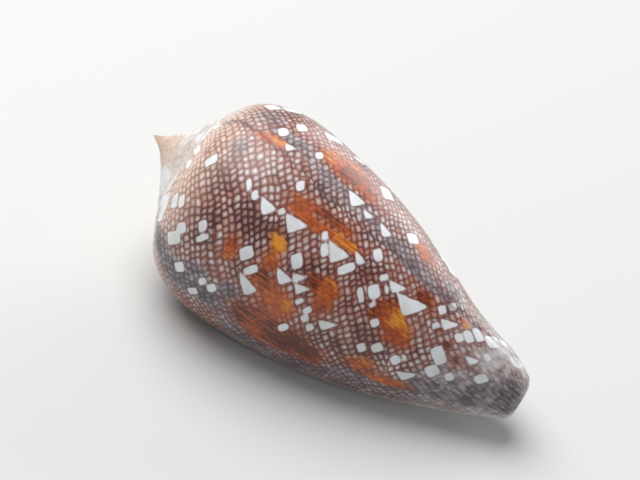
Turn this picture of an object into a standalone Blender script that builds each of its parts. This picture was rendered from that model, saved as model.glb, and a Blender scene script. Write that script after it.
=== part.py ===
"""A cone shell, lying with its aperture down.

The shell is one closed solid, coiled about an axis that runs from the apex to the siphonal end. Its
surface is worked out in the shell's own frame, in millimetres: x along the axis from the apex, r out from
the axis, and the turn, which counts whorls from the apex cap to the outer lip. The solid is then rolled
and pitched into the pose in which it rests, and stood on z = 0.
"""
import math

import bmesh
import bpy
import numpy as np
from mathutils import Matrix

# Driving dimensions, in millimetres and turns
LENGTH = 50.7
TURNS = 9
SPIRE_GROWTH = 1.30
SPIRE_REACH = 1.60
SPIRE_CURVE = 0.66
SUTURE_RADIUS = 9.0
WALL = 1.1
WALL_AT_SIPHON = 0.65
LIP_EDGE = 0.5
CAVITY_TURNS = 0.75
COLUMELLA_PINCH = 0.68
NOTCH_DEPTH = 1.6
END_SLANT = 0.6
END_DOME = 0.4

# Where these changes begin, in turns behind the lip, and the turns that they take
SLANT_SPAN = 0.9
NOTCH_START = 0.75
NOTCH_SPAN = 0.3
PINCH_START = 0.72
PINCH_SPAN = 0.28
LIP_TAPER_SPAN = 0.10

# Where they begin and how long they take as shares of the way from shoulder to siphonal end
PINCH_TOP = 0.62
THINNER_FROM = 0.5
END_TAPER = 0.12

# How the ramp of a whorl bows at its first and last third: along the axis and outwards, in ramp widths
BOW_FIRST = (0.12, 0.42)
BOW_LAST = (0.20, 0.33)

# The outer lip below the suture, down to the siphonal end: distance from the apex, radius
LIP_PROFILE = (
    (7.4, 10.05),
    (8.6, 11.4),
    (9.9, 12.25),
    (11.7, 12.95),
    (13.9, 13.4),
    (16.7, 13.5),
    (20.7, 13.2),
    (25.7, 12.5),
    (31.1, 11.15),
    (36.5, 9.4),
    (41.8, 7.1),
    (45.7, 5.2),
    (48.5, 3.7),
    (49.7, 3.1),
    (50.4, 2.55),
    (50.7, 1.95),
)

# How many times the radius grows in one turn, by the share of the way from shoulder to siphonal end
GROWTH = (
    (0.0, 1.30),
    (0.19, 1.29),
    (0.31, 1.34),
    (0.43, 1.40),
    (0.55, 1.48),
    (0.68, 1.66),
    (0.80, 1.80),
    (0.86, 1.55),
    (0.92, 1.15),
    (1.0, 1.0),
)

# The resting pose, in degrees: the lip's angle from straight up, and the apex end's lift
LIP_ANGLE = 137.2
AXIS_PITCH = 9.5

# Facets
STEPS_PER_TURN = 52
RAMP_ROWS = 3
SIDE_SHARES = (0.0, 0.012, 0.027, 0.045, 0.07, 0.10, 0.14, 0.19, 0.25, 0.32, 0.40, 0.48, 0.56, 0.64,
               0.72, 0.79, 0.85, 0.90, 0.94, 0.965, 0.985, 1.0)
CAVITY_TOP_ROW = 3
INNER_FIRST_ROW = 4
SLOPE_STEP = 0.005
SHARP_ANGLE = 40.0

MILLIMETRE = 0.001
SHELL_COLOUR = (0.62, 0.40, 0.30, 1.0)
SHELL_ROUGHNESS = 0.3


def clear_scene():
    """Remove every object that the file starts with."""
    for item in list(bpy.data.objects):
        bpy.data.objects.remove(item, do_unlink=True)


def smooth_step(value):
    """Rise from 0 to 1 with level ends."""
    value = np.clip(value, 0.0, 1.0)
    return value * value * (3.0 - 2.0 * value)


def curve_through(points, at):
    """Read a smooth curve through the points, by cubic pieces whose slopes join the neighbours."""
    xs, ys = np.array(points, dtype=float).T
    slope = np.gradient(ys, xs)
    piece = np.clip(np.searchsorted(xs, at) - 1, 0, len(xs) - 2)
    width = xs[piece + 1] - xs[piece]
    t = np.clip((at - xs[piece]) / width, 0.0, 1.0)
    start = (2 * t**3 - 3 * t**2 + 1) * ys[piece] + (t**3 - 2 * t**2 + t) * width * slope[piece]
    end = (3 * t**2 - 2 * t**3) * ys[piece + 1] + (t**3 - t**2) * width * slope[piece + 1]
    return start + end


def suture(turn):
    """The line where the next whorl joins: a spiral on the concave cone of the spire."""
    radius = SUTURE_RADIUS * SPIRE_GROWTH ** (turn - TURNS)
    return SPIRE_REACH * radius**SPIRE_CURVE, radius


def side(share, turn):
    """The whorl's side at a share of the way from its suture to the siphonal end."""
    share, turn = np.broadcast_arrays(np.asarray(share, dtype=float), np.asarray(turn, dtype=float))
    back = TURNS - turn
    start = suture(turn)[0]
    notch = NOTCH_DEPTH * smooth_step((back - NOTCH_START) / NOTCH_SPAN)
    end = LENGTH - END_SLANT * smooth_step(back / SLANT_SPAN) - notch
    lip_start = suture(TURNS)[0]
    lip_x = lip_start + (LENGTH - lip_start) * share
    radius = curve_through(((lip_start, SUTURE_RADIUS),) + LIP_PROFILE, lip_x)
    radius = radius * curve_through(GROWTH, share) ** (-back)
    pinch = COLUMELLA_PINCH * smooth_step((share - PINCH_TOP) / (1.0 - PINCH_TOP))
    radius = radius * (1.0 - pinch * smooth_step((back - PINCH_START) / PINCH_SPAN))
    return start + (end - start) * share, radius


def ramp(share, turn):
    """The sloping top of a whorl, a low convex arc from the suture before it to its own suture."""
    x0, r0 = suture(turn - 1)
    x3, r3 = suture(turn)
    size = r3 - r0
    x1, r1 = x0 + BOW_FIRST[0] * size, r0 + BOW_FIRST[1] * size
    x2, r2 = x3 - BOW_LAST[0] * size, r3 - BOW_LAST[1] * size
    a, b, c, d = (1 - share) ** 3, 3 * share * (1 - share) ** 2, 3 * share**2 * (1 - share), share**3
    return a * x0 + b * x1 + c * x2 + d * x3, a * r0 + b * r1 + c * r2 + d * r3


def inner_wall(share, turn):
    """The inside of the outer wall, a wall's thickness in from the side along its normal."""
    ahead = np.clip(share + SLOPE_STEP, 0.0, 1.0)
    behind = np.clip(share - SLOPE_STEP, 0.0, 1.0)
    x, r = side(share, turn)
    x_ahead, r_ahead = side(ahead, turn)
    x_behind, r_behind = side(behind, turn)
    run = np.hypot(x_ahead - x_behind, r_ahead - r_behind)
    thinner = smooth_step((share - THINNER_FROM) / (1.0 - THINNER_FROM))
    thickness = WALL + (WALL_AT_SIPHON - WALL) * thinner
    edge = smooth_step((TURNS - turn) / LIP_TAPER_SPAN)
    thickness = thickness * edge + np.minimum(thickness, LIP_EDGE) * (1.0 - edge)
    to_end = smooth_step((1.0 - share) / END_TAPER)
    inner_x = x + to_end * thickness * (r_ahead - r_behind) / run
    return inner_x, r - thickness * (x_ahead - x_behind) / run


def in_space(x, r, turn):
    """Turn axial distance, radius and turn into points about the x axis, the lip at LIP_ANGLE."""
    angle = math.radians(LIP_ANGLE) + 2.0 * math.pi * (np.asarray(turn) - TURNS)
    x, r, angle = np.broadcast_arrays(x, r, angle)
    return np.stack((x, -r * np.sin(angle), r * np.cos(angle)), axis=-1)


class Skin:
    """The closed surface as it is put together: points, and faces that name them."""

    def __init__(self):
        self.points = []
        self.faces = []

    def add(self, points):
        """Add a grid of points and return their numbers in the same grid."""
        first = len(self.points)
        flat = points.reshape(-1, 3)
        self.points.extend(map(tuple, flat))
        return np.arange(first, first + len(flat)).reshape(points.shape[:-1])

    def sheet(self, grid):
        """Fill a grid of point numbers with quads."""
        for near, far in zip(grid[:-1], grid[1:]):
            for a, b, c, d in zip(near[:-1], near[1:], far[1:], far[:-1]):
                self.faces.append((a, b, c, d))

    def polygon(self, *rows):
        """Fill the loop that the rows of point numbers make, end to end."""
        self.faces.append(tuple(int(number) for row in rows for number in row))

    def fan(self, centre, loop):
        """Join a closed loop to one middle point."""
        for a, b in zip(loop, np.roll(loop, -1)):
            self.faces.append((a, b, centre))


def build_spire(skin):
    """Add the sutures, the ramps of all whorls and the apex cap."""
    step = 1.0 / STEPS_PER_TURN
    suture_turns = np.arange(-STEPS_PER_TURN, TURNS * STEPS_PER_TURN + 1) * step
    sutures = skin.add(in_space(*suture(suture_turns), suture_turns))
    turns = np.arange(0, TURNS * STEPS_PER_TURN + 1) * step
    shares = np.arange(1, RAMP_ROWS) / RAMP_ROWS
    share_grid, turn_grid = np.meshgrid(shares, turns)
    middle = skin.add(in_space(*ramp(share_grid, turn_grid), turn_grid))
    ramps = np.column_stack((sutures[:len(turns)], middle, sutures[STEPS_PER_TURN:]))
    skin.sheet(ramps)
    apex = skin.add(np.array([[0.0, 0.0, 0.0]]))[0]
    skin.fan(apex, np.concatenate((sutures[:STEPS_PER_TURN], ramps[0, :0:-1])))
    return sutures, ramps


def build_body(skin, sutures, ramps):
    """Add the last whorl's side, the cavity under it, the lip's edge and the siphonal end."""
    step = 1.0 / STEPS_PER_TURN
    depth = round(CAVITY_TURNS * STEPS_PER_TURN)
    shares = np.array(SIDE_SHARES)

    outer_turns = TURNS - 1 + np.arange(STEPS_PER_TURN + 1) * step
    share_grid, turn_grid = np.meshgrid(shares[1:], outer_turns)
    outer = skin.add(in_space(*side(share_grid, turn_grid), turn_grid))
    outer = np.column_stack((sutures[-STEPS_PER_TURN - 1:], outer))
    skin.sheet(outer)

    hidden_turns = TURNS - 1 + np.arange(-depth, 0) * step
    share_grid, turn_grid = np.meshgrid(shares[CAVITY_TOP_ROW:], hidden_turns)
    hidden = skin.add(in_space(*side(share_grid, turn_grid), turn_grid))
    hidden = np.vstack((hidden, outer[0, CAVITY_TOP_ROW:]))
    skin.sheet(hidden)

    inner_turns = TURNS + np.arange(-depth, 1) * step
    share_grid, turn_grid = np.meshgrid(shares[INNER_FIRST_ROW:], inner_turns)
    inner = skin.add(in_space(*inner_wall(share_grid, turn_grid), turn_grid))
    skin.sheet(np.column_stack((hidden[:, 0], inner)))

    lip_outer = outer[-1, INNER_FIRST_ROW:]
    skin.sheet(np.vstack((lip_outer, inner[-1])))
    lip_top = np.concatenate((ramps[-1], outer[-1, 1:INNER_FIRST_ROW + 1]))
    skin.polygon(lip_top, inner[-1, :1], outer[0, CAVITY_TOP_ROW:0:-1])
    skin.polygon(hidden[0, :2], inner[0, :1])
    skin.sheet(np.vstack((hidden[0, 1:], inner[0])))

    rim = outer[-depth - 1:, -1]
    skin.sheet(np.vstack((rim, inner[:, -1])))
    end_loop = np.concatenate((hidden[:, -1], outer[1:-depth, -1], inner[:1, -1]))
    corners = np.array([skin.points[number] for number in end_loop])
    tip = skin.add(corners.mean(axis=0, keepdims=True) + np.array([[END_DOME, 0.0, 0.0]]))[0]
    skin.fan(tip, end_loop)


def build_shell():
    """Build the shell's mesh, in metres, in its resting pose with its base at the origin."""
    skin = Skin()
    sutures, ramps = build_spire(skin)
    build_body(skin, sutures, ramps)

    pitch = Matrix.Rotation(math.radians(AXIS_PITCH), 4, "Y")
    points = np.array(skin.points) @ np.array(pitch.to_3x3()).T
    low, high = points.min(axis=0), points.max(axis=0)
    points = points - np.array(((low[0] + high[0]) / 2, (low[1] + high[1]) / 2, low[2]))

    mesh = bpy.data.meshes.new("shell")
    mesh.from_pydata((points * MILLIMETRE).tolist(), [], [list(map(int, face)) for face in skin.faces])
    shape = bmesh.new()
    shape.from_mesh(mesh)
    bmesh.ops.triangulate(shape, faces=shape.faces)
    bmesh.ops.recalc_face_normals(shape, faces=shape.faces)
    shape.to_mesh(mesh)
    shape.free()
    mesh.shade_smooth()
    mesh.set_sharp_from_angle(angle=math.radians(SHARP_ANGLE))
    return mesh


def shell_material():
    """Glossy aragonite in the middle colour of its brown network and pinkish ground."""
    material = bpy.data.materials.new("shell_gloss")
    material.use_nodes = True
    finish = material.node_tree.nodes["Principled BSDF"]
    finish.inputs["Base Color"].default_value = SHELL_COLOUR
    finish.inputs["Roughness"].default_value = SHELL_ROUGHNESS
    finish.inputs["Metallic"].default_value = 0.0
    return material


def main():
    """Make the one object that the shell is."""
    clear_scene()
    mesh = build_shell()
    mesh.materials.append(shell_material())
    shell = bpy.data.objects.new("shell", mesh)
    bpy.context.scene.collection.objects.link(shell)


if __name__ == "__main__":
    main()
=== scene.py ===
import math

import bmesh
import bpy
import numpy as np
from mathutils import Matrix, Vector


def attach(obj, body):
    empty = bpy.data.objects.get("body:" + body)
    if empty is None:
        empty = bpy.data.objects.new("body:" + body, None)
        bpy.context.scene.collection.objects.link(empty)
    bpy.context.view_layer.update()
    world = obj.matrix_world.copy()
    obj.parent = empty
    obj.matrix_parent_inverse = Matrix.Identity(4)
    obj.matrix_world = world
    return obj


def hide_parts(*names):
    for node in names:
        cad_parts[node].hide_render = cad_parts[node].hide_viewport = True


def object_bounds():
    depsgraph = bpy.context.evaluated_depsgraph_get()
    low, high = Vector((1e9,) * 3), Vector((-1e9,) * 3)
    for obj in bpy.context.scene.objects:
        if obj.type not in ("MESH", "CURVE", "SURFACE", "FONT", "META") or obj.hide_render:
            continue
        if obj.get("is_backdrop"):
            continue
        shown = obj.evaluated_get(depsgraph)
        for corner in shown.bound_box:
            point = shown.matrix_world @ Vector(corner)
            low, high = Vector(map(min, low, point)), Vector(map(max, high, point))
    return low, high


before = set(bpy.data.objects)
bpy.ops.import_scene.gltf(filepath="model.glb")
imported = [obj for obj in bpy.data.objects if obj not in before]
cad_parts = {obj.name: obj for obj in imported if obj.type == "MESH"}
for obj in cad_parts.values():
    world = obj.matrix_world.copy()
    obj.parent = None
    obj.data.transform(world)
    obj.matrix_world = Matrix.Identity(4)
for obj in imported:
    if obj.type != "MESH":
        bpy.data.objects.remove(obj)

bl_info = {
    "name": "Netted cone shell",
    "version": (1, 0, 0),
    "blender": (4, 5, 0),
    "location": "View3D > Sidebar > Cone Shell",
    "description": "Builds a netted cone shell with its pattern, and a plain stage to look at it on",
    "category": "Add Mesh",
}

CAD_LOW, CAD_HIGH = (np.array(corner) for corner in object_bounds())

MILLIMETRE = 0.001
FULL_TURN = 2.0 * math.pi

# The shell's form in millimetres and turns, the same as the solid's
LENGTH = 50.7
TURNS = 9
SPIRE_GROWTH = 1.30
SPIRE_REACH = 1.60
SPIRE_CURVE = 0.66
SUTURE_RADIUS = 9.0
WALL = 1.1
WALL_AT_SIPHON = 0.65
LIP_EDGE = 0.5
CAVITY_TURNS = 0.75
COLUMELLA_PINCH = 0.68
NOTCH_DEPTH = 1.6
END_SLANT = 0.6
LIP_ANGLE = 137.2
AXIS_PITCH = 9.5

# Where these changes begin, in turns behind the lip, and the turns that they take
SLANT_SPAN = 0.9
NOTCH_START = 0.75
NOTCH_SPAN = 0.3
PINCH_START = 0.72
PINCH_SPAN = 0.28
LIP_TAPER_SPAN = 0.10

# The same as shares of the way from shoulder to siphonal end, and the step that slopes are read over
PINCH_TOP = 0.62
THINNER_FROM = 0.5
END_TAPER = 0.12
SLOPE_STEP = 0.005

# How the ramp of a whorl bows at its first and last third: along the axis and outwards, in ramp widths
BOW_FIRST = (0.12, 0.42)
BOW_LAST = (0.20, 0.33)

# The outer lip below the suture, down to the siphonal end: distance from the apex, radius
LIP_PROFILE = (
    (7.4, 10.05),
    (8.6, 11.4),
    (9.9, 12.25),
    (11.7, 12.95),
    (13.9, 13.4),
    (16.7, 13.5),
    (20.7, 13.2),
    (25.7, 12.5),
    (31.1, 11.15),
    (36.5, 9.4),
    (41.8, 7.1),
    (45.7, 5.2),
    (48.5, 3.7),
    (49.7, 3.1),
    (50.4, 2.55),
    (50.7, 1.95),
)

# How many times the radius grows in one turn, by the share of the way from shoulder to siphonal end
GROWTH = (
    (0.0, 1.30),
    (0.19, 1.29),
    (0.31, 1.34),
    (0.43, 1.40),
    (0.55, 1.48),
    (0.68, 1.66),
    (0.80, 1.80),
    (0.86, 1.55),
    (0.92, 1.15),
    (1.0, 1.0),
)

# The fine surface: columns in a turn, rows, and how many outer columns one inner column spans
COLUMNS = 300
SIDE_ROWS = 150
RAMP_ROWS = 6
INNER_STRIDE = 5

# How much rows crowd at the shoulder, and the share of the side at which the cavity ends below it
ROW_CROWDING = 0.35
CAVITY_TOP_SHARE = 0.045

# How many columns and rows the resting height is read from
REST_GRID = (53, 201)

# The surface lies this far inside the solid's, and its siphonal end bulges by this, in millimetres
SKIN_INSET = 0.05
END_DOME = 0.3

# Relief in millimetres: the healed break's groove, the siphonal cords and the lip's rounded edge
SCAR_DEPTH = 0.07
SCAR_WIDTH = 0.30
CORD_DEPTH = 0.05
CORD_PITCH = 1.15
LIP_ROUNDING = 0.14
LIP_ROUNDING_WIDTH = 0.12
INNER_LIP_ROUNDING = 0.10

# Where these begin or end along the lip, and the distance that they take to do it, in millimetres
CREAM_ENDS = (0.1, 1.9)
SHOULDER_ENDS = (1.5, 8.5)
SCAR_BEGINS = (3.0, 4.0)
LIP_BAND_BEGINS = (12.0, 8.0)
TIP_BEGINS = (35.5, 10.0)

# The same for the cords as shares of the side, and for the inside and the apex's peach in turns
CORDS_BEGIN = (0.74, 0.15)
INSIDE_BEGINS = (0.0, 0.08)
PEACH_ENDS = (4.5, 2.5)

# The pale band along the lip and the mark that the healed break leaves, in millimetres
LIP_BAND_WIDTH = 1.1
SCAR_MARK_WIDTH = 0.5

# The healed break's jags, each a height and a wave number, and how far the net is out of step there
SCAR_JAGS = ((0.12, 1.7), (0.08, 4.1))
SCAR_SHIFT = 0.43

# The grey strip on the older side of the break: how grey, how far back and how wide
SCAR_GREY = (0.4, 1.6, 1.6)

# The healed break, a line across the last whorl: distance along the lip, turn
SCAR_PATH = (
    (0.0, 8.638),
    (6.0, 8.645),
    (12.0, 8.665),
    (20.0, 8.677),
    (28.0, 8.672),
    (36.0, 8.660),
    (48.0, 8.575),
)

# The camera's angles in degrees and its distance from the shell's middle in millimetres
CAMERA_AZIMUTH = 14.0
CAMERA_ELEVATION = 39.05
CAMERA_ROLL = 19.7
CAMERA_DISTANCE = 240.0

# In the photo's pixels: its size, the focal length and where the shell's middle lies
PICTURE_WIDTH = 640.0
PICTURE_HEIGHT = 480.0
FOCAL_PIXELS = 2177.0
SHELL_ACROSS = 339.2
SHELL_DOWN = 255.3

# Wave lines run so many millimetres along the lip for each radian of growth. Cross lines slope back
WAVE_SPEED = 10.0
CROSS_SLOPE = 0.69

# The net's column pitch over its row pitch, and how many turns before the lip the maps' angle is nought
PITCH_RATIO = 1.2
MAP_SHIFT = 0.25

# The net's cells widen this many times past each of these distances along the lip, in millimetres
COARSER = 1.3
COARSER_FROM = (33.5, 42.0)

# White tents as they lie in the photo, in its pixels: across, down, width, height
TENTS = (
    (266, 206, 16, 19), (294, 225, 22, 21), (337, 252, 20, 24), (357, 200, 16, 16),
    (245, 286, 14, 26), (282, 278, 14, 18), (358, 260, 10, 15), (369, 216, 10, 9),
    (386, 232, 9, 15), (299, 276, 18, 10), (302, 289, 17, 11), (396, 287, 16, 14),
    (409, 305, 30, 24), (449, 324, 18, 12), (474, 362, 13, 10), (405, 376, 18, 12),
    (326, 326, 18, 12), (289, 147, 11, 9),
)

# White blocks of merged cells, listed as the tents are. The slivers along the upper-right outline, at (387,
# 193) and from (436, 246) to (451, 269), are partly painted highlight
BLOCKS_AND_GLINTS = (
    (246, 254, 13, 12), (250, 269, 14, 7), (296, 261, 11, 15), (346, 269, 18, 8),
    (324, 250, 7, 12), (378, 255, 8, 12), (325, 237, 6, 8), (362, 295, 6, 16),
    (374, 291, 11, 13), (386, 289, 4, 10), (384, 278, 9, 7), (443, 310, 8, 9),
    (453, 306, 8, 8), (436, 326, 8, 6), (460, 338, 8, 9), (469, 336, 8, 13),
    (478, 334, 7, 14), (494, 342, 12, 13), (505, 343, 6, 8), (440, 357, 12, 18),
    (488, 358, 7, 9), (396, 361, 9, 9), (404, 358, 4, 9), (418, 364, 13, 8),
    (431, 371, 13, 11), (450, 378, 9, 8), (480, 379, 12, 9), (518, 362, 10, 12),
    (375, 323, 9, 8), (361, 347, 9, 9), (376, 347, 12, 9), (311, 328, 8, 7),
    (305, 320, 8, 7), (299, 334, 8, 7), (282, 328, 10, 6), (306, 311, 9, 6),
    (299, 300, 9, 5), (371, 305, 9, 5), (293, 110, 16, 6), (334, 138, 15, 8),
    (360, 160, 10, 6), (211, 160, 13, 8), (197, 150, 7, 7), (188, 163, 6, 7),
    (176, 173, 9, 12), (216, 125, 9, 8), (272, 106, 11, 8), (283, 131, 9, 7),
    (302, 127, 9, 7), (320, 155, 8, 7), (302, 186, 8, 9), (164, 203, 9, 18),
    (174, 201, 7, 14), (174, 238, 12, 13), (181, 200, 6, 12), (160, 216, 9, 11),
    (181, 229, 9, 11), (202, 226, 9, 11), (201, 238, 13, 6), (248, 185, 5, 11),
    (254, 195, 7, 9), (179, 267, 8, 9), (193, 292, 8, 7), (210, 288, 8, 7),
    (202, 282, 7, 6), (387, 193, 10, 14), (413, 238, 10, 10), (436, 246, 10, 14),
    (443, 256, 9, 16), (451, 269, 9, 14), (281, 210, 8, 6),
)

# A place shows in the photo if its surface faces the camera by more than this
LEAST_SEEN = 0.05

# The least share of its width that a marking on a slanting surface keeps in the photo
LEAST_FACING = 0.4

# Corners of tents and blocks: rounding in millimetres, the share given back, the largest exponent
CORNER_ROUNDING = 0.12
CORNER_GAIN = 0.3
EXPONENT_LIMIT = 60.0

# In millimetres: the distance given to places far from any white, and the least radius for a wave's slope
FAR_FROM_WHITE = 9.0
LEAST_RADIUS = 3.0

# How many times their half sizes the soft spots spread, and a total that is too faint to tint
SPOT_SPREAD = 1.15
FAINT_SPOT = 0.05

# Orange-brown patches in the photo's pixels: across, down, half length along the shell, half width, gold
PATCHES = (
    (278, 247, 7, 6, 1.0), (271, 262, 8, 8, 0.8), (262, 277, 12, 9, 0.4), (277, 303, 18, 11, 0.7),
    (247, 316, 16, 12, 0.1), (262, 328, 16, 17, 0.2), (288, 343, 18, 15, 0.0), (311, 354, 12, 10, 0.2),
    (328, 292, 9, 9, 0.9), (322, 305, 8, 10, 0.5), (315, 282, 9, 6, 0.1), (300, 212, 12, 4, 0.4),
    (318, 226, 16, 4, 0.5), (340, 240, 16, 4, 0.8), (353, 249, 8, 4, 1.0), (306, 203, 12, 3, 0.4),
    (332, 220, 20, 4, 0.2), (343, 165, 18, 12, 0.5), (362, 180, 20, 13, 0.3), (399, 325, 13, 7, 1.0),
    (386, 311, 10, 9, 0.2), (394, 339, 11, 7, 0.4), (379, 312, 8, 7, 0.1), (425, 300, 10, 7, 0.1),
    (361, 364, 12, 7, 0.6), (388, 381, 18, 5, 0.5), (427, 253, 14, 6, 0.6), (467, 323, 5, 5, 0.6),
    (446, 343, 5, 4, 0.2), (455, 361, 7, 6, 0.3), (274, 140, 14, 5, 0.6), (232, 245, 7, 9, 0.6),
)

# Grey-blue cloudy places, listed as the patches are, with how strong they are. The strong ones along the
# lower-left and lower edge are both dark pigment and painted shade on the side that faces down
CLOUDS_AND_SHADE = (
    (240, 142, 12, 9, 0.8), (262, 165, 14, 8, 0.5), (158, 236, 22, 10, 1.5), (165, 262, 24, 12, 1.5),
    (182, 277, 20, 12, 1.9), (198, 272, 9, 8, 1.5), (207, 297, 20, 12, 1.7), (229, 292, 10, 9, 1.5),
    (275, 118, 14, 9, 0.9), (300, 141, 18, 7, 0.8), (330, 178, 20, 7, 0.6), (362, 212, 22, 7, 0.5),
    (395, 246, 22, 7, 0.5), (430, 282, 22, 7, 0.6), (409, 265, 20, 8, 0.4), (455, 290, 14, 9, 0.7),
    (420, 330, 10, 10, 0.5), (246, 338, 26, 18, 1.7), (300, 362, 26, 18, 1.5), (352, 380, 22, 14, 1.2),
    (400, 389, 24, 16, 1.2), (440, 392, 26, 16, 1.4), (475, 399, 26, 14, 1.6), (503, 403, 24, 10, 2.0),
    (487, 384, 10, 8, 1.0), (512, 390, 14, 14, 1.4), (300, 232, 10, 6, 0.3),
)

# Where the net is darker, or paler if negative, listed as the clouds are. The dark ones near the lower edge
# are both darker net and painted shade
ZONES_AND_SHADE = (
    (262, 222, 24, 9, 1.0), (290, 244, 14, 7, 0.8), (236, 190, 16, 8, 0.7), (262, 170, 20, 8, 0.5),
    (316, 266, 14, 7, 0.8), (420, 313, 10, 7, 0.6), (432, 322, 26, 22, -0.7), (350, 150, 30, 16, -0.6),
    (200, 275, 24, 16, 1.0), (235, 312, 22, 16, 1.2), (300, 352, 40, 20, 1.5), (350, 372, 26, 14, 1.0),
    (206, 245, 12, 8, 0.4), (345, 318, 20, 12, -0.8), (305, 318, 12, 14, -0.5), (230, 245, 14, 14, -0.4),
    (360, 290, 10, 10, -0.7), (200, 195, 16, 10, -0.6), (186, 218, 14, 12, -0.8), (462, 322, 14, 12, -0.6),
    (470, 345, 16, 10, -0.6),
)

# The unseen side gets its own tents, patches and clouds, drawn at random with this seed
HIDDEN_SEED = 11
HIDDEN_TENTS = 95
HIDDEN_PATCHES = 26
HIDDEN_CLOUDS = 14

# Their span in turns, and the least and range of their place along the lip, their size and stretch
HIDDEN_TURNS = 0.50
HIDDEN_ARC = (3.0, 42.0)
HIDDEN_SIZE = (0.8, 1.6)
HIDDEN_STRETCH = (0.7, 0.6)

# The two spiral bands of patches along the lip, the middle between them, and how much patches stray
BANDS = (17.0, 31.0)
BAND_MIDDLE = 24.0
BAND_SCATTER = 0.22

# Half lengths and widths of hidden patches and clouds in the photo's pixels: least, and more by size
PATCH_LENGTH = (9.0, 8.0)
PATCH_WIDTH = (6.0, 3.0)
CLOUD_LENGTH = (14.0, 8.0)
CLOUD_WIDTH = (7.0, 3.0)
CLOUD_STRENGTH = 0.7

# The most that overlapping patches and clouds add up to
MOST_PATCH = 1.5
MOST_CLOUD = 2.0

# Noise on the shell, in cycles for each metre
BROAD_NOISE = 120.0
ZONE_NOISE = 210.0
SPIRE_NOISE = 380.0
MIDDLING_NOISE = 420.0
FINE_NOISE = 1100.0
FLECK_NOISE = 1500.0

# Streaky noise: cycles for each millimetre of growth and along the lip, detail, roughness, shift
STREAKS = (2.6, 0.24, 4.0, 0.6, 0.0)
HAIR = (3.4, 0.30, 3.0, 0.6, 40.0)
RADIAL = (2.2, 0.25, 3.0, 0.6, 0.0)
GROWTH_LINES = (4.0, 0.10, 3.0, 0.7, 0.0)
SPIRAL_LINES = (0.05, 3.0, 2.0, 0.5, 0.0)

# The net in millimetres: how lines swell in dark zones, their soft edge, the cells' corners and rims
LINE_SWELL = 0.24
LINE_EDGE = (0.09, -0.07)
CELL_ROUNDING = 0.40
CELL_RIM_WIDTH = (0.38, 0.05)

# How unevenly the cross lines follow each other, from 0 to 1
ROW_RANDOMNESS = 0.7

# Round a white, in millimetres: its soft edge, its outline, and the whiter cells near it
WHITE_EDGE = (0.07, -0.12)
OUTLINE_FROM_WHITE = 0.09
OUTLINE_EDGE = (0.16, 0.02)
WHITE_HALO = (1.5, 0.1)

# Painted shade in the suture: how far the tan darkening beside it reaches, in millimetres along the lip
SUTURE_PAINTED_SHADE = (0.22, 0.0)

# The shell's colours as a screen shows them, 0 to 255, with what each is for
COLOURS = {
    "cell_pink": ((198, 162, 150), "Pinker cells of the net"),
    "cell_pale": ((230, 210, 200), "Paler cells of the net"),
    "cell_white": ((236, 234, 234), "Whitest cells of the net"),
    # Cells in the dark zones, near the lower edge also painted shade
    "cell_dusky": ((120, 88, 94), "Cells in the dark zones"),
    # The shoulder's cells and lines, partly its paler pattern and partly painted light on the top of the
    # shell
    "shoulder_peach": ((234, 212, 196), "Cells on the shoulder"),
    "shoulder_brown": ((186, 144, 124), "Lines on the shoulder"),
    "cell_rim": ((134, 76, 62), "Cells next to a line"),
    # The tents' white, also the painted highlight of the slivers on the upper-right outline
    "tent_white": ((238, 241, 244), "White tents and blocks"),
    "tent_shade": ((226, 224, 223), "Faintly warm places in the tents"),
    "line_dark": ((82, 40, 40), "Dark lines of the net"),
    "line_brown": ((124, 60, 46), "Brown lines of the net"),
    # Lines in the smoky places, near the lower edge also painted shade
    "line_black": ((46, 36, 40), "Lines in the smoky places"),
    "line_grey": ((80, 72, 80), "Grey lines of the net"),
    "cloud_grey": ((178, 174, 182), "Grey-blue cloudy places"),
    # Smoky dark, along the lower edge and at the siphonal end also painted shade
    "cloud_dark": ((74, 66, 76), "Smoky streaks in the cloudy places"),
    "patch_dark": ((84, 32, 18), "Red-brown in the patches"),
    "patch_orange": ((190, 88, 32), "Orange-brown in the patches"),
    "patch_gold": ((236, 156, 46), "Golden hearts of the patches"),
    "spire_cream": ((210, 198, 188), "Ground of the spire"),
    "apex_peach": ((226, 186, 158), "Peach tint of the apex"),
    "spire_tan": ((178, 140, 120), "Flecks on the spire"),
    "tip_grey": ((132, 124, 126), "Dusky streaks at the siphonal end"),
    "tip_pale": ((206, 202, 202), "Pale places at the siphonal end"),
    "inside_white": ((236, 228, 226), "Inside of the aperture"),
}

# The glossy coat, and the finest relief's strength and height in metres
COAT_WEIGHT = 0.2
COAT_ROUGHNESS = 0.15
BUMP_STRENGTH = 0.22
BUMP_HEIGHT = 0.0004

# Lights: name, place in metres, and width of the disk in metres
LIGHTS = (
    ("key", (-0.20, 0.06, 0.42), 0.50),
    ("rim", (0.12, 0.52, 0.14), 0.42),
    ("fill", (-0.12, -0.38, 0.34), 0.45),
)
SKY_COLOUR = (0.92, 0.96, 1.0, 1.0)
FLOOR_ROUGHNESS = 0.8

# The camera's sensor in millimetres, and the nearest and farthest that it sees in metres
SENSOR_WIDTH = 36.0
CLIP = (0.01, 20.0)


def smooth_step(value):
    """Rise from 0 to 1 with level ends: three squares less two cubes."""
    value = np.clip(value, 0.0, 1.0)
    return value * value * (3.0 - 2.0 * value)


def rise(value, start, span):
    """A smooth step that begins at the start and takes this span."""
    return smooth_step((value - start) / span)


def bell(value, width):
    """1 at nought, falling to 1/e at the width on either side."""
    return np.exp(-(value / width) ** 2)


def map_angle(turn):
    """The angle of growth that the maps use, in radians."""
    return FULL_TURN * (turn - TURNS + MAP_SHIFT)


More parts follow.
